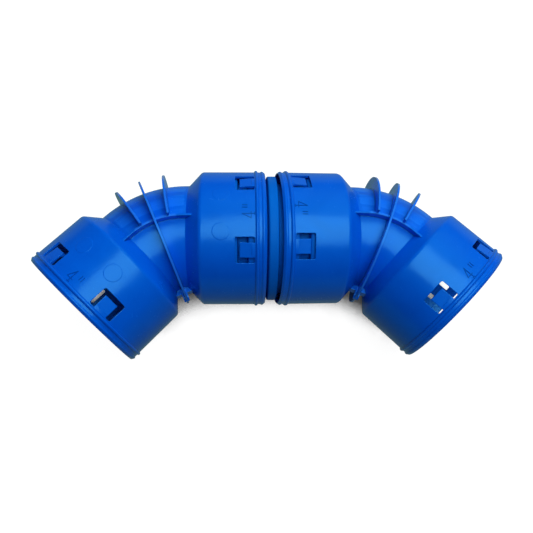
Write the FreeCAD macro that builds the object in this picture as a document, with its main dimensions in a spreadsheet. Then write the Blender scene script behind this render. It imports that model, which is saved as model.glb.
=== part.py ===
import FreeCAD, Part
import math
import os

import Sketcher
from FreeCAD import Placement, Rotation, Vector

# Two snap-fit elbows for corrugated drain pipe, joined socket to socket by a short
# corrugated coupler. Each elbow is one moulding: a smooth bend with a snap socket at
# each end, three flange fins round the bend and a rib along each side. The elbow frame
# has its corner, where the two socket axes meet, at the origin; the near socket runs
# along +X, the bend lies in the XY plane and +Z is the side that faces up at rest.
# Lengths are in millimetres and angles in degrees.

SIZES = [
    ("socket_radius", 62.5, "outer radius of a socket at its mouth end"),
    ("socket_wall", 2.25, "wall of a socket"),
    ("socket_depth", 57.4, "mouth to the outer shoulder"),
    ("socket_draft", 0.2, "how much smaller the socket is at its shoulder"),
    ("shoulder_run", 12.2, "axial length of the cone between socket and tube"),
    ("shoulder_round", 4.5, "outer rounding of the shoulder"),
    ("tube_radius", 49.5, "outer radius of the bend"),
    ("tube_wall", 2.25, "wall of the bend"),
    ("tube_straight", 1.9, "straight tube between the bend and each cone"),
    ("bend_angle", 46.0, "turn of each elbow"),
    ("bend_radius", 60.0, "radius of the bend's centreline"),
    ("lip_run", 1.1, "length of the bevel on the mouth's outer edge"),
    ("lip_drop", 0.8, "height of the bevel on the mouth's outer edge"),
    ("outer_bead_at", 2.6, "mouth to the first bead's crest"),
    ("outer_bead_rise", 0.75, "height of the first bead"),
    ("outer_bead_width", 2.6, "width of the first bead"),
    ("inner_bead_at", 8.0, "mouth to the second bead's crest"),
    ("inner_bead_rise", 1.45, "height of the second bead"),
    ("inner_bead_width", 3.0, "width of the second bead"),
    ("collar_relief", 0.85, "entry collar wider than the bore by this much"),
    ("collar_depth", 9.0, "depth of the entry collar"),
    ("collar_step_run", 0.5, "bevel between the collar and the bore"),
    ("entry_bevel", 0.6, "bevel on the mouth's inner edge"),
    ("clip_angle", 31.0, "angle of each clip from the front or back normal"),
    ("window_start", 10.3, "mouth to the near end of a clip window"),
    ("window_end", 27.1, "mouth to the far end of a clip window"),
    ("window_width", 22.4, "width of a clip window"),
    ("window_round", 1.4, "corner rounding of a clip window"),
    ("tongue_root", 12.8, "mouth to the bend line of a tongue"),
    ("tongue_tip", 23.1, "mouth to the tip of a tongue"),
    ("tongue_width", 12.8, "width of a tongue"),
    ("tongue_wall", 2.1, "thickness of a tongue at its root"),
    ("tongue_dip", 0.9, "drop of a tongue's outer face to its tip"),
    ("hook_bite", 1.55, "reach of a tongue's hook below the coupler's crests"),
    ("hook_run", 4.0, "length of a hook's slope"),
    ("fin_radius", 61.2, "outer radius of the flange fins"),
    ("fin_wall", 1.8, "thickness of a fin"),
    ("fin_spread", 11.6, "angle between neighbouring fins"),
    ("rib_wall", 2.0, "thickness of a side rib"),
    ("rib_reach", 55.6, "tube centreline to a side rib's edge"),
    ("rib_overlap", 5.8, "how far a side rib runs over each cone"),
    ("web_wall", 8.0, "thickness of the throat web"),
    ("web_drop", 5.4, "depth of the throat web below the tube"),
    ("web_half_length", 9.0, "half of the throat web's length"),
    ("foot_wall", 5.0, "thickness of the foot on the middle fin"),
    ("foot_width", 8.0, "width of the foot along the fin"),
    ("foot_reach", 61.8, "tube centreline to the end of the foot"),
    ("crest_clearance", 1.5, "gap between a socket's bore and the coupler's crests"),
    ("crest_height", 6.9, "depth of the coupler's grooves"),
    ("coupler_wall", 1.6, "wall of the coupler"),
    ("crest_pitch", 17.8, "crest to crest along the coupler"),
    ("crest_width", 8.2, "width of a crest at its top"),
    ("crest_flank", 1.1, "axial run of a crest's flank"),
    ("crest_round", 1.7, "rounding of a crest's edges"),
    ("coupler_end", 2.6, "valley left beyond the last crest"),
    ("coupler_reach", 6.2, "near elbow's mouth to the coupler's middle"),
    ("mouth_gap", 11.5, "distance between the two joined mouths"),
    ("skew_yaw", 2.17, "far elbow's turn about Z on the coupler, in plan"),
    ("skew_pitch", 1.02, "far elbow's tilt in the plane of the bend"),
    ("skew_pivot", 18.0, "depth in the far socket where its axis meets the coupler's"),
    ("rest_swivel", -3.04, "far elbow's swivel about the coupler at rest"),
]

SIDE_CRESTS = (-2, -1, 0, 1, 2)

doc = FreeCAD.newDocument("snap_elbow_pair")
sheet = doc.addObject("Spreadsheet::Sheet", "Sizes")
for row, (alias, size, note) in enumerate(SIZES, start=1):
    sheet.set(f"A{row}", note)
    sheet.set(f"B{row}", str(size))
    sheet.setAlias(f"B{row}", alias)
doc.recompute()

# Lengths worked out from the driving sizes, as expressions that the sketches share.
TANGENT = "(Sizes.bend_radius * tan(Sizes.bend_angle / 2))"
CONE_AT = f"({TANGENT} + Sizes.tube_straight)"
SHOULDER_AT = f"({CONE_AT} + Sizes.shoulder_run)"
MOUTH = f"({SHOULDER_AT} + Sizes.socket_depth)"
BORE = "(Sizes.socket_radius - Sizes.socket_wall)"
COLLAR = f"({BORE} + Sizes.collar_relief)"
TUBE_BORE = "(Sizes.tube_radius - Sizes.tube_wall)"
CREST = f"({BORE} - Sizes.crest_clearance)"
VALLEY = f"({CREST} - Sizes.crest_height)"
HOOK_TIP = f"({CREST} - Sizes.hook_bite)"
SHOULDER_RADIUS = "(Sizes.socket_radius - Sizes.socket_draft)"
CONE_RISE = f"({SHOULDER_RADIUS} - Sizes.tube_radius)"
INNER_SHIFT = f"(Sizes.socket_wall * tan(atan({CONE_RISE} / Sizes.shoulder_run) / 2))"
OUTER_TURN = "rotation(vector(0; 0; 1); 180 + Sizes.bend_angle)"
NO_TURN = "rotation(vector(0; 0; 1); 0)"


def number(expression):
    """Value of an expression that reads the size sheet."""
    return float(sheet.evalExpression(expression))


def origin_plane(body, role):
    return next(item for item in body.Origin.OriginFeatures if item.Role == role)


def new_sketch(body, name, role="XY_Plane", offset=None):
    """Sketch on one of the body's own planes, moved by an offset expression."""
    sketch = body.newObject("Sketcher::SketchObject", name)
    sketch.AttachmentSupport = [(origin_plane(body, role), "")]
    sketch.MapMode = "FlatFace"
    if offset:
        sketch.setExpression("AttachmentOffset", offset)
    return sketch


def bind(sketch, constraint, expression):
    index = sketch.addConstraint(constraint)
    sketch.setExpression(f"Constraints[{index}]", expression)


def arc_through(start, end, radius, side):
    """Minor arc from start to end with its centre on the left (1) or right (-1)."""
    chord = end - start
    left = Vector(-chord.y, chord.x, 0).normalize()
    middle = (start + end) * 0.5
    reach = math.sqrt(max(radius ** 2 - (chord.Length / 2) ** 2, 0.0))
    centre = middle + left * (side * reach)
    crown = centre - left * (side * radius)
    if side > 0:
        return Part.Arc(start, crown, end)
    return Part.Arc(end, crown, start)


def draw_outline(sketch, corners):
    """Closed outline whose corners are bound to the sheet.

    A corner is (x, y), or (x, y, radius, side) where an arc leads to the next corner.
    """
    places = [Vector(number(corner[0]), number(corner[1]), 0) for corner in corners]
    ends = []
    for index, corner in enumerate(corners):
        start = places[index]
        end = places[(index + 1) % len(places)]
        if len(corner) == 2:
            edge = sketch.addGeometry(Part.LineSegment(start, end), False)
            ends.append((edge, 1, 2))
        else:
            side = corner[3]
            edge = sketch.addGeometry(arc_through(start, end, number(corner[2]), side), False)
            ends.append((edge, 1, 2) if side > 0 else (edge, 2, 1))
    for index, (edge, first, last) in enumerate(ends):
        following = ends[(index + 1) % len(ends)]
        sketch.addConstraint(
            Sketcher.Constraint("Coincident", edge, last, following[0], following[1])
        )
    for corner, place, (edge, first, last) in zip(corners, places, ends):
        bind(sketch, Sketcher.Constraint("DistanceX", -1, 1, edge, first, place.x), corner[0])
        bind(sketch, Sketcher.Constraint("DistanceY", -1, 1, edge, first, place.y), corner[1])
        if len(corner) > 2:
            radius = number(corner[2])
            bind(sketch, Sketcher.Constraint("Radius", edge, radius), corner[2])


def draw_circle(sketch, x, y, radius):
    """Circle whose centre and radius are bound to the sheet."""
    centre = Vector(number(x), number(y), 0)
    edge = sketch.addGeometry(Part.Circle(centre, Vector(0, 0, 1), number(radius)), False)
    bind(sketch, Sketcher.Constraint("DistanceX", -1, 1, edge, 3, centre.x), x)
    bind(sketch, Sketcher.Constraint("DistanceY", -1, 1, edge, 3, centre.y), y)
    bind(sketch, Sketcher.Constraint("Radius", edge, number(radius)), radius)


def revolve(body, kind, name, sketch):
    """Full turn of a sketch about its own horizontal axis."""
    feature = body.newObject(kind, name)
    feature.Profile = sketch
    feature.ReferenceAxis = (sketch, ["H_Axis"])
    feature.Angle = 360
    return feature


def pad_both_ways(body, name, sketch, thickness):
    feature = body.newObject("PartDesign::Pad", name)
    feature.Profile = sketch
    feature.SideType = "Symmetric"
    feature.setExpression("Length", thickness)
    return feature


def bead(at, rise, width):
    """Corners of a half-round bead on the socket, deep side first."""
    radius = f"(({width} / 2) ^ 2 + {rise} ^ 2) / (2 * {rise})"
    return [
        (f"{MOUTH} - {at} - {width} / 2", "Sizes.socket_radius", radius, -1),
        (f"{MOUTH} - {at} + {width} / 2", "Sizes.socket_radius"),
    ]


def add_socket(body, end, turn):
    """Solid socket, revolved about the axis that the turn brings the X axis to."""
    sketch = new_sketch(body, f"{end}_socket_section", offset=f"placement(vector(0; 0; 0); {turn})")
    corners = [
        (CONE_AT, "0"),
        (CONE_AT, "Sizes.tube_radius"),
        (SHOULDER_AT, SHOULDER_RADIUS),
    ]
    corners += bead("Sizes.inner_bead_at", "Sizes.inner_bead_rise", "Sizes.inner_bead_width")
    corners += bead("Sizes.outer_bead_at", "Sizes.outer_bead_rise", "Sizes.outer_bead_width")
    corners += [
        (f"{MOUTH} - Sizes.lip_run", "Sizes.socket_radius"),
        (MOUTH, "Sizes.socket_radius - Sizes.lip_drop"),
        (MOUTH, "0"),
    ]
    draw_outline(sketch, corners)
    return revolve(body, "PartDesign::Revolution", f"{end}_socket", sketch)


def add_bore(body, end, turn):
    """Hollow of a socket: entry collar, bore and inner cone."""
    sketch = new_sketch(body, f"{end}_bore_section", offset=f"placement(vector(0; 0; 0); {turn})")
    draw_outline(sketch, [
        (CONE_AT, "0"),
        (CONE_AT, TUBE_BORE),
        (f"{CONE_AT} + {INNER_SHIFT}", TUBE_BORE),
        (f"{SHOULDER_AT} + {INNER_SHIFT}", BORE),
        (f"{MOUTH} - Sizes.collar_depth - Sizes.collar_step_run", BORE),
        (f"{MOUTH} - Sizes.collar_depth", COLLAR),
        (f"{MOUTH} - Sizes.entry_bevel", COLLAR),
        (MOUTH, f"{COLLAR} + Sizes.entry_bevel"),
        (MOUTH, "0"),
    ])
    return revolve(body, "PartDesign::Groove", f"{end}_bore", sketch)


def bend_path(body):
    """Centreline of the tube from cone to cone."""
    sketch = new_sketch(body, "bend_path")
    far_x = f"-{TANGENT} * cos(Sizes.bend_angle)"
    far_y = f"-{TANGENT} * sin(Sizes.bend_angle)"
    end_x = f"-{CONE_AT} * cos(Sizes.bend_angle)"
    end_y = f"-{CONE_AT} * sin(Sizes.bend_angle)"
    stops = [(CONE_AT, "0"), (TANGENT, "0"), (far_x, far_y), (end_x, end_y)]
    places = [Vector(number(x), number(y), 0) for x, y in stops]
    sketch.addGeometry(Part.LineSegment(places[0], places[1]), False)
    sketch.addGeometry(arc_through(places[1], places[2], number("Sizes.bend_radius"), 1), False)
    sketch.addGeometry(Part.LineSegment(places[2], places[3]), False)
    sketch.addConstraint(Sketcher.Constraint("Coincident", 0, 2, 1, 1))
    sketch.addConstraint(Sketcher.Constraint("Coincident", 1, 2, 2, 1))
    points = [(0, 1), (0, 2), (2, 1), (2, 2)]
    for (x, y), place, (edge, point) in zip(stops, places, points):
        bind(sketch, Sketcher.Constraint("DistanceX", -1, 1, edge, point, place.x), x)
        bind(sketch, Sketcher.Constraint("DistanceY", -1, 1, edge, point, place.y), y)
    radius = number("Sizes.bend_radius")
    bind(sketch, Sketcher.Constraint("Radius", 1, radius), "Sizes.bend_radius")
    return sketch


def add_tube(body, kind, name, path, radius):
    """Round section swept along the bend, solid or as a cut."""
    offset = f"placement(vector(0; 0; {CONE_AT}); {NO_TURN})"
    sketch = new_sketch(body, f"{name}_section", role="YZ_Plane", offset=offset)
    draw_circle(sketch, "0", "0", radius)
    feature = body.newObject(kind, name)
    feature.Profile = sketch
    feature.Spine = (path, ["Edge1", "Edge2", "Edge3"])
    return feature


def round_shoulders(body, base):
    """Round both shoulders, found by their radius."""
    doc.recompute()
    radius = number(SHOULDER_RADIUS)
    edges = [
        f"Edge{index}" for index, edge in enumerate(base.Shape.Edges, start=1)
        if edge.Curve.TypeId == "Part::GeomCircle" and abs(edge.Curve.Radius - radius) < 1e-4
    ]
    if len(edges) != 2:
        raise RuntimeError(f"expected two shoulder edges, found {len(edges)}")
    feature = body.newObject("PartDesign::Fillet", "shoulder_rounding")
    feature.Base = (base, edges)
    feature.setExpression("Radius", "Sizes.shoulder_round")
    return feature


def fin_offset(angle):
    """Plane through the bend's axis, at an angle from the near end of the bend."""
    return (
        f"placement(vector(-Sizes.bend_radius; 0; {TANGENT}); "
        f"rotation(vector(0; 1; 0); {angle}))"
    )


def add_fins(body):
    """Three flange fins: the middle one goes all the way round, the others half way."""
    middle = "Sizes.bend_angle / 2"
    sketch = new_sketch(body, "middle_fin_face", role="YZ_Plane", offset=fin_offset(middle))
    draw_circle(sketch, "Sizes.bend_radius", "0", "Sizes.fin_radius")
    pad_both_ways(body, "middle_fin", sketch, "Sizes.fin_wall")
    for name, angle in (
        ("near_fin", f"{middle} - Sizes.fin_spread"),
        ("far_fin", f"{middle} + Sizes.fin_spread"),
    ):
        sketch = new_sketch(body, f"{name}_face", role="YZ_Plane", offset=fin_offset(angle))
        draw_outline(sketch, [
            ("Sizes.bend_radius", "-Sizes.fin_radius", "Sizes.fin_radius", 1),
            ("Sizes.bend_radius + Sizes.fin_radius", "0", "Sizes.fin_radius", 1),
            ("Sizes.bend_radius", "Sizes.fin_radius"),
        ])
        pad_both_ways(body, name, sketch, "Sizes.fin_wall")


def add_foot(body):
    """Round-ended foot where the middle fin comes out at the throat."""
    sketch = new_sketch(
        body, "foot_face", role="YZ_Plane", offset=fin_offset("Sizes.bend_angle / 2")
    )
    inner = "Sizes.bend_radius - Sizes.tube_radius + Sizes.tube_wall / 2"
    outer = "Sizes.bend_radius - Sizes.foot_reach + Sizes.foot_width / 2"
    half = "Sizes.foot_width / 2"
    draw_outline(sketch, [
        (inner, half),
        (outer, half, half, 1),
        (f"{outer} - {half}", "0", half, 1),
        (outer, f"-{half}"),
        (inner, f"-{half}"),
    ])
    return pad_both_ways(body, "foot", sketch, "Sizes.foot_wall")


def add_rib(body):
    """Curved rib on the bend's centreline, standing out of the tube at front and back."""
    sketch = new_sketch(body, "rib_face")
    end = f"({CONE_AT} + Sizes.rib_overlap)"
    run = f"({end} - {TANGENT})"
    outer = "(Sizes.bend_radius + Sizes.rib_wall / 2)"
    inner = "(Sizes.bend_radius - Sizes.rib_wall / 2)"
    sine = "sin(Sizes.bend_angle)"
    cosine = "cos(Sizes.bend_angle)"

    def near(radius):
        return f"{radius} - Sizes.bend_radius"

    def far(radius, along):
        x = f"{TANGENT} - {radius} * {sine} - {along} * {cosine}"
        y = f"-Sizes.bend_radius + {radius} * {cosine} - {along} * {sine}"
        return x, y

    draw_outline(sketch, [
        (end, near(outer)),
        (TANGENT, near(outer), outer, 1),
        far(outer, "0"),
        far(outer, run),
        far(inner, run),
        (*far(inner, "0"), inner, -1),
        (TANGENT, near(inner)),
        (end, near(inner)),
    ])
    return pad_both_ways(body, "side_rib", sketch, "2 * Sizes.rib_reach")


def add_web(body):
    """Flat web across the throat, between the two cones."""
    half_turn = "(Sizes.bend_angle / 2)"
    offset = (
        f"placement(vector({TANGENT}; -Sizes.bend_radius; 0); "
        f"rotation(vector(0; 0; 1); {half_turn}))"
    )
    sketch = new_sketch(body, "throat_web_face", offset=offset)
    throat = "(Sizes.bend_radius - Sizes.tube_radius)"
    half = "Sizes.web_half_length"
    draw_outline(sketch, [
        (f"-{half}", f"{throat} - Sizes.web_drop"),
        (half, f"{throat} - Sizes.web_drop"),
        (half, f"{throat} + Sizes.tube_wall"),
        (f"-{half}", f"{throat} + Sizes.tube_wall"),
    ])
    return pad_both_ways(body, "throat_web", sketch, "Sizes.web_wall")


def cut_windows(body, end, turn):
    """U-shaped windows, each pair of opposite ones cut in one go."""
    half = "Sizes.window_width / 2"
    round_by = "Sizes.window_round"
    near = f"({MOUTH} - Sizes.window_start)"
    far = f"({MOUTH} - Sizes.window_end)"
    root = f"({MOUTH} - Sizes.tongue_root)"
    tongue = "Sizes.tongue_width / 2"
    for side, sign in (("upper", "-"), ("lower", "")):
        spin = f"rotation(vector(1; 0; 0); {sign}Sizes.clip_angle)"
        offset = f"placement(vector(0; 0; 0); {turn} * {spin})"
        sketch = new_sketch(body, f"{end}_{side}_window_face", offset=offset)
        draw_outline(sketch, [
            (near, tongue),
            (near, f"{half} - {round_by}", round_by, 1),
            (f"{near} - {round_by}", half),
            (f"{far} + {round_by}", half, round_by, 1),
            (far, f"{half} - {round_by}"),
            (far, f"-({half} - {round_by})", round_by, 1),
            (f"{far} + {round_by}", f"-{half}"),
            (f"{near} - {round_by}", f"-{half}", round_by, 1),
            (near, f"-({half} - {round_by})"),
            (near, f"-{tongue}"),
            (root, f"-{tongue}"),
            (root, tongue),
        ])
        feature = body.newObject("PartDesign::Pocket", f"{end}_{side}_windows")
        feature.Profile = sketch
        feature.Type = "ThroughAll"
        feature.SideType = "Symmetric"


def add_tongues(body, end, turn):
    """Four snap tongues, rooted at the mouth side, each with a hook inside its tip."""
    root = f"({MOUTH} - Sizes.tongue_root)"
    tip = f"({MOUTH} - Sizes.tongue_tip)"
    hold = f"({root} + Sizes.socket_wall / 3)"
    top = "sqrt(Sizes.socket_radius ^ 2 - (Sizes.tongue_width / 2) ^ 2)"
    under = f"{top} - Sizes.tongue_wall"
    places = {
        "front_upper": "90 - Sizes.clip_angle",
        "front_lower": "90 + Sizes.clip_angle",
        "back_upper": "-90 + Sizes.clip_angle",
        "back_lower": "-90 - Sizes.clip_angle",
    }
    for place, angle in places.items():
        spin = f"rotation(vector(1; 0; 0); {angle})"
        offset = f"placement(vector(0; 0; 0); {turn} * {spin})"
        sketch = new_sketch(body, f"{end}_{place}_tongue_side", offset=offset)
        draw_outline(sketch, [
            (hold, top),
            (root, top),
            (tip, f"{top} - Sizes.tongue_dip"),
            (tip, HOOK_TIP),
            (f"{tip} + Sizes.hook_run", under),
            (root, under),
            (hold, under),
        ])
        pad_both_ways(body, f"{end}_{place}_tongue", sketch, "Sizes.tongue_width")


def make_elbow(label):
    """One moulded elbow, built solid first and then hollowed and pierced."""
    body = doc.addObject("PartDesign::Body", label)
    body.Label = label
    path = bend_path(body)
    add_tube(body, "PartDesign::AdditivePipe", "bend", path, "Sizes.tube_radius")
    add_socket(body, "near", NO_TURN)
    base = add_socket(body, "outer", OUTER_TURN)
    round_shoulders(body, base)
    add_fins(body)
    add_rib(body)
    add_web(body)
    add_foot(body)
    add_tube(body, "PartDesign::SubtractivePipe", "bend_bore", path, TUBE_BORE)
    for end, turn in (("near", NO_TURN), ("outer", OUTER_TURN)):
        add_bore(body, end, turn)
        cut_windows(body, end, turn)
        add_tongues(body, end, turn)
    return body


def make_coupler(label):
    """Corrugated coupler: one half section of even wall, revolved."""
    body = doc.addObject("PartDesign::Body", label)
    body.Label = label
    sketch = new_sketch(body, "corrugation_section")
    last = SIDE_CRESTS[-1]
    end = f"({last} * Sizes.crest_pitch + Sizes.crest_width / 2 + Sizes.coupler_end)"
    crest_inside = f"{CREST} - Sizes.coupler_wall"
    valley_inside = f"{VALLEY} - Sizes.coupler_wall"
    outside = [(f"-{end}", VALLEY)]
    inside = [(f"-{end}", valley_inside)]
    for crest in SIDE_CRESTS:
        middle = f"{crest} * Sizes.crest_pitch"
        top = "Sizes.crest_width / 2"
        outside += [
            (f"{middle} - {top} - Sizes.crest_flank", VALLEY),
            (f"{middle} - {top}", CREST),
            (f"{middle} + {top}", CREST),
            (f"{middle} + {top} + Sizes.crest_flank", VALLEY),
        ]
        inside += [
            (f"{middle} - {top} - Sizes.crest_flank + Sizes.coupler_wall", valley_inside),
            (f"{middle} - {top} + Sizes.coupler_wall", crest_inside),
            (f"{middle} + {top} - Sizes.coupler_wall", crest_inside),
            (f"{middle} + {top} + Sizes.crest_flank - Sizes.coupler_wall", valley_inside),
        ]
    outside.append((end, VALLEY))
    inside.append((end, valley_inside))
    draw_outline(sketch, outside + inside[::-1])
    ring = revolve(body, "PartDesign::Revolution", "corrugated_wall", sketch)
    doc.recompute()
    radius = number(CREST)
    edges = [
        f"Edge{index}" for index, edge in enumerate(ring.Shape.Edges, start=1)
        if edge.Curve.TypeId == "Part::GeomCircle" and abs(edge.Curve.Radius - radius) < 1e-4
    ]
    feature = body.newObject("PartDesign::Fillet", "crest_rounding")
    feature.Base = (ring, edges)
    feature.setExpression("Radius", "Sizes.crest_round")
    return body


def axis_turn(axis, alias):
    return Rotation(axis, number(f"Sizes.{alias}"))


def assembly_placements():
    """Placements of the coupler and the far elbow in the near elbow's frame."""
    mouth = number(MOUTH)
    x_axis, y_axis, z_axis = Vector(1, 0, 0), Vector(0, 1, 0), Vector(0, 0, 1)
    coupler = Placement(Vector(mouth + number("Sizes.coupler_reach"), 0, 0), Rotation())
    skew = (
        axis_turn(x_axis, "rest_swivel") * axis_turn(y_axis, "skew_yaw")
        * axis_turn(z_axis, "skew_pitch")
    )
    pivot = Vector(mouth + number("Sizes.mouth_gap") + number("Sizes.skew_pivot"), 0, 0)
    into_socket = skew.multVec(x_axis) * (mouth - number("Sizes.skew_pivot"))
    mirror_turn = Rotation(z_axis, -number("Sizes.bend_angle"))
    far = Placement(pivot + into_socket, skew * mirror_turn)
    return coupler, far


def rim_circles(placement):
    """Centre and axis of the second bead's crest circle on each mouth of an elbow."""
    rim_at = number(f"{MOUTH} - Sizes.inner_bead_at")
    bend = math.radians(number("Sizes.bend_angle"))
    axes = [Vector(1, 0, 0), Vector(-math.cos(bend), -math.sin(bend), 0)]
    return [
        (placement.multVec(axis * rim_at), placement.Rotation.multVec(axis)) for axis in axes
    ]


def rest_turn(far):
    """Rotation that lays both outer rims and a joined rim on one level."""
    near_rims = rim_circles(Placement())
    far_rims = rim_circles(far)
    near_outer, far_outer = near_rims[1], far_rims[0]
    joined = [near_rims[0], far_rims[1]]
    radius = number("Sizes.socket_radius + Sizes.inner_bead_rise")
    up = Vector(0, 0, 1)

    def lowest(rim):
        centre, axis = rim
        down = (axis * axis.dot(up) - up).normalize()
        return centre + down * radius

    for _ in range(30):
        middle = min(joined, key=lambda rim: lowest(rim).dot(up))
        first, second, third = (lowest(rim) for rim in (near_outer, far_outer, middle))
        up = (second - first).cross(third - first).normalize()
        if up.z < 0:
            up = up * -1
    along = far_outer[0] - near_outer[0]
    along = (along - up * along.dot(up)).normalize()
    across = up.cross(along)
    return Rotation(along, across, up, "ZXY").inverted()


near_elbow = make_elbow("left_elbow")
far_elbow = make_elbow("right_elbow")
coupler_ring = make_coupler("coupler_ring")
doc.recompute()

coupler_place, far_place = assembly_placements()
settle = Placement(Vector(), rest_turn(far_place))
near_elbow.Placement = settle
far_elbow.Placement = settle * far_place
coupler_ring.Placement = settle * coupler_place
doc.recompute()

sub_parts = (near_elbow, far_elbow, coupler_ring)
box = Part.makeCompound([item.Shape for item in sub_parts]).optimalBoundingBox(False)
shift = Placement(Vector(-box.Center.x, -box.Center.y, -box.ZMin), Rotation())
for item in sub_parts:
    item.Placement = shift * item.Placement
doc.recompute()

for item in doc.Objects:
    if "Invalid" in item.State or "Error" in item.State:
        raise RuntimeError(f"{item.Name} did not build: {item.State}")
for item in sub_parts:
    if item.Shape.isNull() or not item.Shape.isValid() or len(item.Shape.Solids) != 1:
        raise RuntimeError(f"{item.Label} is not one valid solid")

os.makedirs("parts", exist_ok=True)
for item in sub_parts:
    item.Shape.exportStep(f"parts/{item.Label}.step")
    print(item.Label, "volume", round(item.Shape.Volume / 1000, 2), "cm3")

axis_at = coupler_ring.Placement.Base
axis_along = coupler_ring.Placement.Rotation.multVec(Vector(1, 0, 0))
print("swivel at", axis_at, "along", axis_along)
print("box", box.XLength, box.YLength, box.ZLength)
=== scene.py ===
"""Two snap-fit drain pipe elbows on a white floor, seen from nearly straight above.

The three solids keep their shape and get their plastics here; the scene adds only the shallow
moulded marks on the sockets.
"""
import math

import bmesh
import bpy
from mathutils import Matrix, Vector


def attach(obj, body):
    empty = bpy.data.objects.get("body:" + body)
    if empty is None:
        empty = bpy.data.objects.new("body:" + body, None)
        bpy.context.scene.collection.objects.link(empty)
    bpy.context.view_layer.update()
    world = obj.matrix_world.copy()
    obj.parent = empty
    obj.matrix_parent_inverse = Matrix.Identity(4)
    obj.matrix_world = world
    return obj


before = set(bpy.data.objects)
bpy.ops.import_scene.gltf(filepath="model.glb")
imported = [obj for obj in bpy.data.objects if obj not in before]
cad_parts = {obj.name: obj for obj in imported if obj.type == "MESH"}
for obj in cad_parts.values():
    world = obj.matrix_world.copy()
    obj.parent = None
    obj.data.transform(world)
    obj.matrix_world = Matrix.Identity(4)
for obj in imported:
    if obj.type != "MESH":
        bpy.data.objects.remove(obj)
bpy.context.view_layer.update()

# Camera, fitted to points of both elbows in the photograph.
CAMERA_AT = (-0.031861, -0.153005, 0.521966)
CAMERA_VIEW = (0.0577953, 0.3087396, -0.9493890)
CAMERA_UP = (0.0070064, 0.9508298, 0.3096347)
LENS_MM = 34.584
SENSOR_MM = 36.0
NEAR_CLIP = 0.01

# Lamps: place, point aimed at, width, watts, colour, and whether reflections show the lamp.
SOFTBOXES = {
    "overhead_softbox": ((0.25, -0.09, 1.50), (0.05, 0.03, 0.06), 1.1, 14.5,
                         (1.0, 1.0, 1.0), True),
    "window_light": ((0.60, 1.25, 1.30), (0.0, 0.0, 0.06), 1.6, 21.0,
                     (0.72, 1.3, 1.0), False),
}

WHITE = (1.0, 1.0, 1.0, 1.0)
FILL_COLOUR = (0.9, 0.95, 1.0, 1.0)
FILL_STRENGTH = 0.045

# Floor: its grey under the glow, how it tints bounced light and how it shows in reflections.
FLOOR_HALF = 6.0
FLOOR_GREY = (0.2, 0.22)
FLOOR_GLOW = 0.95
FLOOR_BOUNCE = (0.04, 0.17, 0.14, 1.0)
FLOOR_SHINE = 0.2
FLOOR_SHINE_TINT = (0.68, 0.95, 1.0, 1.0)
# The glow fades to painted shade where the pipe hides the sky, and is whole again far from the
# pipe.
COVER_REACH = 0.15
COVER_OPENNESS = (0.265, 0.345)
PAINTED_SHADE_GLOW = 0.04
FAR_FLOOR = (0.5, 1.5)

# Colours of the elbows' glossy plastic and of the coupler's satin one.
ELBOW_LIGHT = (0.0, 0.092, 0.72, 1.0)
ELBOW_DARK = (0.0, 0.08, 0.66, 1.0)
# Painted shade colour, laid into creases and over the moulded figures.
ELBOW_PAINTED_SHADE = (0.0, 0.01, 0.1, 1.0)
ELBOW_SHEEN = (0.0, 0.024, 0.016, 1.0)
ELBOW_TINT = (0.14, 0.7, 1.0, 1.0)
FIN_PALE = (0.3, 0.27, 0.6, 1.0)
# Painted highlight that brightens the fins.
FIN_PAINTED_HIGHLIGHT = (0.02, 0.17, 0.92, 1.0)
# Painted highlight along the flow bands, laid over their real ripple bump.
FLOW_BAND_PAINTED_HIGHLIGHT = (0.01, 0.17, 0.9, 1.0)
COUPLER_LIGHT = (0.0, 0.116, 0.62, 1.0)
COUPLER_DARK = (0.0, 0.096, 0.56, 1.0)
COUPLER_TINT = (0.1, 0.65, 1.0, 1.0)

# Noises, each as scale, detail, roughness and distortion.
FLOOR_NOISE = (90.0, 4.0, 0.5, 0.0)
FLOW_NOISE = (22.0, 3.0, 0.5, 1.2)
GRAIN_NOISE = (900.0, 2.0, 0.5, 0.0)
SWELL_NOISE = (55.0, 1.0, 0.5, 0.0)
SCUFF_NOISE = (140.0, 6.0, 0.7, 2.0)
BAND_NOISE = (5.5, 2.0, 0.5, 0.0)
BLOTCH_NOISE = (40.0, 4.0, 0.5, 0.0)
SATIN_NOISE = (700.0, 3.0, 0.5, 0.0)
# Range of a noise's values that counts; the rest is cut off.
NOISE_SPAN = (0.3, 0.7)

# Bumps, each as strength and depth.
GRAIN_BUMP = (0.12, 0.00008)
SWELL_BUMP = (0.25, 0.0006)
BAND_BUMP = (0.45, 0.0012)
SATIN_BUMP = (0.3, 0.0001)

# Roughness, from the shiniest spots to the dullest, and what a scuff adds.
ELBOW_ROUGHNESS = (0.2, 0.26)
COUPLER_ROUGHNESS = (0.42, 0.55)
SHEEN_ROUGHNESS = 0.6
SCUFF_EDGE = (0.62, 0.72)
SCUFF_ROUGHNESS = 0.16
ELBOW_IOR = 1.5
ELBOW_SPECULAR = 0.5
COUPLER_SPECULAR = 0.24

# Share of a mark's own colour in what it covers: painted highlight on fins and flow bands,
# painted shade on the figures.
FIN_SHARE = 0.6
BAND_SHARE = 0.45
FIGURE_SHARE = 0.45
# Added to the scuffs where they mottle the pale fin tips.
PALE_LIFT = 0.15

# Edges look rounded by this much, and creases narrower than the reach get painted shade.
EDGE_RADIUS = 0.0008
CREASE_REACH = 0.0016
CREASE_OPENNESS = (0.4, 0.9)
CREASE_SHADE = (0.5, 1.0)
SHADER_SAMPLES = 8

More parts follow.
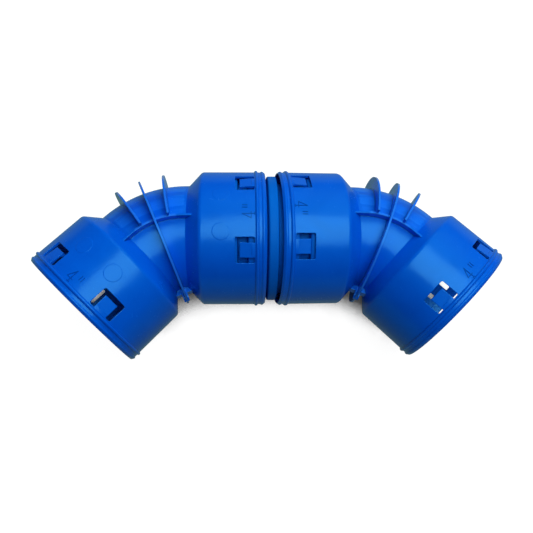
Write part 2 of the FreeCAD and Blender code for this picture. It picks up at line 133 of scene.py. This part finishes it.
# Centre of each elbow's bend, the normal of its plane and the middle of its turn.
LEFT_UP = (-0.0063141, 0.0151683, 0.9998650)
BENDS = {
    "left": ((-0.0776855, -0.0355409, 0.0644490), LEFT_UP,
             (-0.3842511, 0.9230824, -0.0164300)),
    "right": ((0.0778279, -0.0356663, 0.0665011), (0.0319343, 0.0678616, 0.9971835),
              (0.3808937, 0.9215790, -0.0749144)),
}
BEND_RADIUS = 0.060
# Soft limits of the marks on a bend. The first two are cosines of the turn from its middle.
FIN_TURN = (0.945, 0.96)
BAND_TURN = (0.9, 0.93)
# Distance from the tube's centre line where its skin ends, and where a fin begins.
TUBE_SKIN = (0.0496, 0.0500)
FIN_FOOT = (0.0500, 0.0515)
# Distance outward from the centre line: bands start past the side ribs, and fin tips go pale.
PAST_RIB = (0.0, 0.003)
FIN_TIP = (0.034, 0.047)
# Bands run along the bend: their noise turns with the tube and changes slowly lengthwise.
BAND_STRETCH = 6.0
BAND_EDGE = (0.44, 0.60)

# Mouth centre and outward axis of each socket, then the side of the elbow that faces up.
RIGHT_UP = (0.0319627, 0.0678896, 0.9971807)
SOCKETS = {
    "left_outer": ((-0.1705784, -0.0446501, 0.0640005), (-0.6996777, -0.7144298, 0.0064197),
                   LEFT_UP),
    "left_inner": ((-0.0057700, 0.0239568, 0.0640008), (0.9999554, -0.0069243, 0.0064197),
                   LEFT_UP),
    "right_inner": ((0.0057427, 0.0236002, 0.0647765), (-0.9994345, -0.0083000, 0.0326000),
                    RIGHT_UP),
    "right_outer": ((0.1707058, -0.0446300, 0.0641367), (0.7017813, -0.7119188, 0.0259743),
                    RIGHT_UP),
}
SOCKET_RADIUS = 0.0625
# Loss of radius for each metre of depth from the mouth.
SOCKET_DRAFT = 0.0002 / 0.0574

# Figure four with two inch strokes, across the reading direction and along the socket.
SIZE_MARK = [
    ((0.0012, -0.0052), (0.0012, 0.0054)),
    ((0.0012, 0.0054), (-0.0028, -0.0022)),
    ((-0.0028, -0.0022), (0.0028, -0.0022)),
    ((0.0002, -0.0052), (0.0022, -0.0052)),
    ((0.0070, 0.0012), (0.0070, 0.0052)),
    ((0.0092, 0.0012), (0.0092, 0.0052)),
]
# Depth from the mouth, and degrees round the socket from the side that faces up.
SIZE_MARK_DEPTH = 0.0155
SIZE_MARK_ANGLE = -3.1
DISC_DEPTH = 0.0390
DISC_ANGLE = 16.2
# Half widths of a stroke at its foot and its top, its height, and how deep marks are sunk.
STROKE_FOOT = 0.0004
STROKE_TOP = 0.00022
STROKE_RISE = 0.00045
STROKE_PARTS = 8
MARK_SUNK = 0.00012
DISC_RADIUS = 0.0072
DISC_EDGE = 0.0004
DISC_RISE = 0.00012
DISC_RINGS = 6
DISC_SIDES = 72
SAME_POINT = 1e-7


def add_camera():
    view = Vector(CAMERA_VIEW).normalized()
    right = view.cross(Vector(CAMERA_UP)).normalized()
    up = right.cross(view)
    turn = Matrix((right, up, -view)).transposed()
    data = bpy.data.cameras.new("photo_camera")
    data.sensor_width = SENSOR_MM
    data.lens = LENS_MM
    data.clip_start = NEAR_CLIP
    camera = bpy.data.objects.new("photo_camera", data)
    camera.matrix_world = Matrix.Translation(CAMERA_AT) @ turn.to_4x4()
    bpy.context.collection.objects.link(camera)
    bpy.context.scene.camera = camera


def add_softbox(name):
    at, aim, size, watts, colour, reflected = SOFTBOXES[name]
    data = bpy.data.lights.new(name, "AREA")
    data.shape = "SQUARE"
    data.size = size
    data.energy = watts
    data.color = colour
    lamp = bpy.data.objects.new(name, data)
    lamp.location = at
    direction = Vector(aim) - Vector(at)
    lamp.rotation_euler = direction.to_track_quat("-Z", "Y").to_euler()
    lamp.visible_glossy = reflected
    bpy.context.collection.objects.link(lamp)


class Nodes:
    """Short hand for building a node tree. Most methods return the socket of the result."""

    # Factor and two colours of ShaderNodeMix, by number, as its sockets share their names.
    MIX_INPUTS = (0, 6, 7)
    MIX_OUTPUT = 2

    def __init__(self, tree):
        self.tree = tree
        tree.nodes.clear()

    def add(self, kind, inputs=None, **settings):
        node = self.tree.nodes.new(kind)
        for key, value in settings.items():
            setattr(node, key, value)
        for key, value in (inputs or {}).items():
            if isinstance(value, bpy.types.NodeSocket):
                self.tree.links.new(value, node.inputs[key])
            elif value is not None:
                node.inputs[key].default_value = value
        return node

    def maths(self, operation, *values):
        inputs = dict(enumerate(values))
        return self.add("ShaderNodeMath", inputs, operation=operation).outputs[0]

    def vector(self, operation, *values):
        inputs = dict(enumerate(values))
        node = self.add("ShaderNodeVectorMath", inputs, operation=operation)
        return node.outputs["Value" if operation in ("DOT_PRODUCT", "LENGTH") else "Vector"]

    def ramp(self, value, span, result=(0.0, 1.0), kind="LINEAR"):
        """Value carried over from one range to another, held at its ends."""
        inputs = dict(enumerate((value, *span, *result)))
        return self.add("ShaderNodeMapRange", inputs, interpolation_type=kind).outputs[0]

    def smooth_step(self, value, span):
        return self.ramp(value, span, kind="SMOOTHSTEP")

    def mix(self, factor, first, second):
        """Colour between two others."""
        inputs = dict(zip(self.MIX_INPUTS, (factor, first, second)))
        return self.add("ShaderNodeMix", inputs, data_type="RGBA").outputs[self.MIX_OUTPUT]

    def noise(self, kind, at=None):
        names = ("Scale", "Detail", "Roughness", "Distortion")
        inputs = {"Vector": at, **dict(zip(names, kind))}
        return self.add("ShaderNodeTexNoise", inputs).outputs["Fac"]

    def bump(self, kind, height, normal=None):
        strength, depth = kind
        return self.add("ShaderNodeBump", {
            "Height": height, "Strength": strength, "Distance": depth, "Normal": normal,
        }).outputs[0]

    def sum_of(self, first, second):
        """Two shaders, one laid over the other."""
        return self.add("ShaderNodeAddShader", {0: first, 1: second}).outputs[0]


def new_material(name):
    material = bpy.data.materials.new(name)
    material.use_nodes = True
    return material, Nodes(material.node_tree)


def set_world():
    """Plain fill light, with white where the camera looks past the floor."""
    world = bpy.data.worlds.new("studio")
    world.use_nodes = True
    nodes = Nodes(world.node_tree)
    path = nodes.add("ShaderNodeLightPath")
    fill = nodes.add("ShaderNodeBackground", {"Color": FILL_COLOUR, "Strength": FILL_STRENGTH})
    white = nodes.add("ShaderNodeBackground", {"Color": WHITE, "Strength": 1.0})
    both = nodes.add("ShaderNodeMixShader", {
        0: path.outputs["Is Camera Ray"], 1: fill.outputs[0], 2: white.outputs[0],
    })
    nodes.add("ShaderNodeOutputWorld", {"Surface": both.outputs[0]})
    bpy.context.scene.world = world


def floor_material():
    """White floor that keeps the object's shadow, with painted shade where the pipe covers it.
    """
    material, nodes = new_material("white_floor")
    path = nodes.add("ShaderNodeLightPath")
    camera_ray = path.outputs["Is Camera Ray"]
    grey = nodes.ramp(nodes.noise(FLOOR_NOISE), (0.0, 1.0), FLOOR_GREY)
    paint = nodes.add("ShaderNodeBsdfDiffuse", {
        "Color": nodes.mix(camera_ray, FLOOR_BOUNCE, grey), "Roughness": 1.0,
    })
    cover = nodes.add("ShaderNodeAmbientOcclusion", {"Distance": COVER_REACH})
    # Painted shade: the glow drops where occlusion shows the pipe covering the floor.
    near = nodes.ramp(cover.outputs["AO"], COVER_OPENNESS, (PAINTED_SHADE_GLOW, FLOOR_GLOW))
    place = nodes.add("ShaderNodeTexCoord")
    away = nodes.vector("LENGTH", place.outputs["Object"])
    far = nodes.ramp(away, FAR_FLOOR, (0.0, 1.0 - FLOOR_GLOW))
    seen = nodes.maths("MULTIPLY_ADD", path.outputs["Is Glossy Ray"], FLOOR_SHINE, camera_ray)
    glow = nodes.add("ShaderNodeEmission", {
        "Color": nodes.mix(camera_ray, FLOOR_SHINE_TINT, WHITE),
        "Strength": nodes.maths("MULTIPLY", seen, nodes.maths("ADD", near, far)),
    })
    both = nodes.sum_of(paint.outputs[0], glow.outputs[0])
    nodes.add("ShaderNodeOutputMaterial", {"Surface": both})
    return material


def add_floor():
    mesh = bpy.data.meshes.new("floor")
    signs = ((-1, -1), (1, -1), (1, 1), (-1, 1))
    corners = [(x * FLOOR_HALF, y * FLOOR_HALF, 0.0) for x, y in signs]
    mesh.from_pydata(corners, [], [(0, 1, 2, 3)])
    mesh.materials.append(floor_material())
    floor = bpy.data.objects.new("floor", mesh)
    bpy.context.collection.objects.link(floor)


def bend_marks(nodes, at, side):
    """Masks on one elbow: pale fin tips, whole fins for their painted highlight, and flow bands
    that follow the bend, for their ripple bump and painted highlight.
    """
    centre, normal, middle = BENDS[side]
    arm = nodes.vector("SUBTRACT", at, centre)
    flat = nodes.vector("SUBTRACT", arm, nodes.vector("PROJECT", arm, normal))
    rise = nodes.vector("DOT_PRODUCT", arm, normal)
    ahead = nodes.vector("DOT_PRODUCT", flat, middle)
    reach = nodes.vector("LENGTH", flat)
    outward = nodes.maths("SUBTRACT", reach, BEND_RADIUS)
    outward_squared = nodes.maths("MULTIPLY", outward, outward)
    rise_squared = nodes.maths("MULTIPLY", rise, rise)
    across = nodes.maths("SQRT", nodes.maths("ADD", outward_squared, rise_squared))
    turned = nodes.maths("DIVIDE", ahead, reach)

    by_fins = nodes.smooth_step(turned, FIN_TURN)
    on_fin = nodes.maths("MULTIPLY", by_fins, nodes.smooth_step(across, FIN_FOOT))
    pale = nodes.maths("MULTIPLY", on_fin, nodes.smooth_step(outward, FIN_TIP))

    bands_at = nodes.add("ShaderNodeCombineXYZ", {
        0: nodes.maths("ARCTAN2", rise, outward),
        1: nodes.maths("MULTIPLY", ahead, BAND_STRETCH),
    })
    bands = nodes.noise(BAND_NOISE, bands_at.outputs[0])
    in_bend = nodes.smooth_step(turned, BAND_TURN)
    on_tube = nodes.maths("SUBTRACT", in_bend, nodes.smooth_step(across, TUBE_SKIN))
    shown = nodes.maths("MULTIPLY", on_tube, nodes.smooth_step(outward, PAST_RIB))
    held = nodes.add("ShaderNodeClamp", {0: shown})
    return pale, on_fin, nodes.maths("MULTIPLY", held.outputs[0], bands)


def elbow_coat(nodes, plain, scuff, marks):
    """Colour of an elbow: painted shade in creases, fins brightened by painted highlight with
    pale tips, and painted highlight along the flow bands.
    """
    pale, on_fin, bands = marks
    # Painted shade: creases found by local occlusion are darkened towards the painted shade
    # colour.
    crease = nodes.add("ShaderNodeAmbientOcclusion", {"Distance": CREASE_REACH},
                       samples=SHADER_SAMPLES, only_local=True)
    shade = nodes.ramp(crease.outputs["AO"], CREASE_OPENNESS, CREASE_SHADE)
    open_air = nodes.maths("MAXIMUM", shade, on_fin)
    # Painted highlight: fins are brightened towards a lighter blue.
    lit = nodes.mix(nodes.maths("MULTIPLY", on_fin, FIN_SHARE), plain, FIN_PAINTED_HIGHLIGHT)
    # Painted highlight along the flow bands.
    band = nodes.maths("MULTIPLY", nodes.smooth_step(bands, BAND_EDGE), BAND_SHARE)
    clear = nodes.mix(open_air, ELBOW_PAINTED_SHADE, nodes.mix(band, lit, FLOW_BAND_PAINTED_HIGHLIGHT))
    mottle = nodes.maths("MULTIPLY", pale, nodes.maths("ADD", scuff, PALE_LIFT))
    return nodes.mix(mottle, clear, FIN_PALE)


def elbow_plastic(name, side=None):
    """Glossy injection-moulded polyethylene: flow marks, fine texture and soft scuffs, with
    painted shade and, on an elbow, painted highlights.

    The moulded figures have no side: they stay crisp and are darkened by painted shade.
    """
    material, nodes = new_material(name)
    at = nodes.add("ShaderNodeTexCoord").outputs["Object"]
    flow = nodes.noise(FLOW_NOISE, at)
    coat = nodes.mix(nodes.ramp(flow, NOISE_SPAN), ELBOW_DARK, ELBOW_LIGHT)
    scuff = nodes.noise(SCUFF_NOISE, at)
    scuffed = nodes.ramp(scuff, SCUFF_EDGE)
    plain_rough = nodes.ramp(flow, NOISE_SPAN, ELBOW_ROUGHNESS)
    rough = nodes.maths("MULTIPLY_ADD", scuffed, SCUFF_ROUGHNESS, plain_rough)

    rounded = None
    if side:
        edge = nodes.add("ShaderNodeBevel", {"Radius": EDGE_RADIUS}, samples=SHADER_SAMPLES)
        rounded = edge.outputs[0]
    normal = nodes.bump(GRAIN_BUMP, nodes.noise(GRAIN_NOISE, at), rounded)
    normal = nodes.bump(SWELL_BUMP, nodes.noise(SWELL_NOISE, at), normal)
    if side:
        marks = bend_marks(nodes, at, side)
        normal = nodes.bump(BAND_BUMP, marks[-1], normal)
        coat = elbow_coat(nodes, coat, scuff, marks)
    else:
        # Painted shade on the figures, standing in for the shadow of their raised edges.
        coat = nodes.mix(FIGURE_SHARE, coat, ELBOW_PAINTED_SHADE)

    plastic = nodes.add("ShaderNodeBsdfPrincipled", {
        "Base Color": coat,
        "Roughness": rough,
        "IOR": ELBOW_IOR,
        "Specular IOR Level": ELBOW_SPECULAR,
        "Specular Tint": ELBOW_TINT,
        "Normal": normal,
    })
    sheen = nodes.add("ShaderNodeBsdfAnisotropic", {
        "Color": ELBOW_SHEEN, "Roughness": SHEEN_ROUGHNESS, "Normal": normal,
    })
    both = nodes.sum_of(plastic.outputs[0], sheen.outputs[0])
    nodes.add("ShaderNodeOutputMaterial", {"Surface": both})
    return material


def coupler_plastic():
    """Satin extruded polyethylene, a little duller than the elbows."""
    material, nodes = new_material("coupler_plastic")
    at = nodes.add("ShaderNodeTexCoord").outputs["Object"]
    blotch = nodes.noise(BLOTCH_NOISE, at)
    plastic = nodes.add("ShaderNodeBsdfPrincipled", {
        "Base Color": nodes.mix(blotch, COUPLER_DARK, COUPLER_LIGHT),
        "Roughness": nodes.ramp(blotch, NOISE_SPAN, COUPLER_ROUGHNESS),
        "Specular IOR Level": COUPLER_SPECULAR,
        "Specular Tint": COUPLER_TINT,
        "Normal": nodes.bump(SATIN_BUMP, nodes.noise(SATIN_NOISE, at)),
    })
    nodes.add("ShaderNodeOutputMaterial", {"Surface": plastic.outputs[0]})
    return material


class SocketMarks:
    """Mesh of shallow moulded marks that follow a socket's round outside."""

    def __init__(self):
        self.points = []
        self.faces = []

    def place(self, socket, depth, angle, across, along, height):
        """Point by its depth from the mouth and its angle, moved across and along."""
        mouth, axis, up = (Vector(item) for item in SOCKETS[socket])
        inward = -axis.normalized()
        side = inward.cross(up).normalized()
        out = side.cross(inward)
        depth = depth + along
        radius = SOCKET_RADIUS - SOCKET_DRAFT * depth
        turn = math.radians(angle) + across / SOCKET_RADIUS
        ray = out * math.cos(turn) + side * math.sin(turn)
        return mouth + inward * depth + ray * (radius + height)

    def strip(self, rows):
        """Rows of points joined into a skin."""
        first = len(self.points)
        width = len(rows[0])
        for row in rows:
            self.points += row
        for line in range(len(rows) - 1):
            for step in range(width - 1):
                a = first + line * width + step
                self.faces.append((a, a + 1, a + width + 1, a + width))

    def stroke(self, socket, depth, angle, start, end):
        """Raised stroke of a figure, from start to end as (across, along)."""
        start, end = Vector(start), Vector(end)
        run = (end - start).normalized()
        left = Vector((-run.y, run.x))
        section = [(-STROKE_FOOT, -MARK_SUNK), (-STROKE_TOP, STROKE_RISE),
                   (STROKE_TOP, STROKE_RISE), (STROKE_FOOT, -MARK_SUNK)]
        steps = [start - run * STROKE_FOOT, start - run * STROKE_TOP]
        steps += [start.lerp(end, part / STROKE_PARTS) for part in range(STROKE_PARTS + 1)]
        steps += [end + run * STROKE_TOP, end + run * STROKE_FOOT]
        rows = []
        for index, spot in enumerate(steps):
            capped = index in (0, len(steps) - 1)
            row = []
            for offset, height in section:
                at = spot + left * offset
                row.append(self.place(socket, depth, angle, at.x, at.y,
                                      -MARK_SUNK if capped else height))
            rows.append(row)
        self.strip(rows)

    def disc(self, socket, depth, angle):
        """Faintly raised round mark, as an ejector leaves it."""
        rings = [(DISC_RADIUS * part / DISC_RINGS, DISC_RISE) for part in range(DISC_RINGS + 1)]
        rings.append((DISC_RADIUS + DISC_EDGE, -MARK_SUNK))
        turns = [math.tau * part / DISC_SIDES for part in range(DISC_SIDES + 1)]
        self.strip([
            [self.place(socket, depth, angle, radius * math.cos(turn), radius * math.sin(turn),
                        height) for turn in turns]
            for radius, height in rings
        ])

    def finish(self, name, body, material):
        mesh = bpy.data.meshes.new(name)
        mesh.from_pydata(self.points, [], self.faces)
        mesh.materials.append(material)
        mesh.validate()
        tidy = bmesh.new()
        tidy.from_mesh(mesh)
        bmesh.ops.remove_doubles(tidy, verts=tidy.verts, dist=SAME_POINT)
        bmesh.ops.recalc_face_normals(tidy, faces=tidy.faces)
        tidy.to_mesh(mesh)
        tidy.free()
        piece = bpy.data.objects.new(name, mesh)
        bpy.context.collection.objects.link(piece)
        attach(piece, body)


def add_marks(side, plastic, figures):
    """Size marks on both sockets of an elbow, and the left one's ejector discs."""
    marks = SocketMarks()
    for end in ("outer", "inner"):
        for start, stop in SIZE_MARK:
            marks.stroke(f"{side}_{end}", SIZE_MARK_DEPTH, SIZE_MARK_ANGLE, start, stop)
    marks.finish(f"{side}_size_marks", f"{side}_half", figures)
    if side == "left":
        discs = SocketMarks()
        for end in ("outer", "inner"):
            discs.disc(f"{side}_{end}", DISC_DEPTH, DISC_ANGLE)
            discs.disc(f"{side}_{end}", DISC_DEPTH, -DISC_ANGLE)
        discs.finish(f"{side}_ejector_marks", f"{side}_half", plastic)


def dress(node, material):
    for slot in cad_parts[node].material_slots:
        slot.material = material


bpy.context.scene.view_settings.view_transform = "Standard"
add_camera()
set_world()
add_floor()
for name in SOFTBOXES:
    add_softbox(name)

figures = elbow_plastic("figure_plastic")
for side in ("left", "right"):
    plastic = elbow_plastic(f"{side}_elbow_plastic", side)
    dress(f"{side}_elbow", plastic)
    add_marks(side, plastic, figures)
dress("coupler_ring", coupler_plastic())
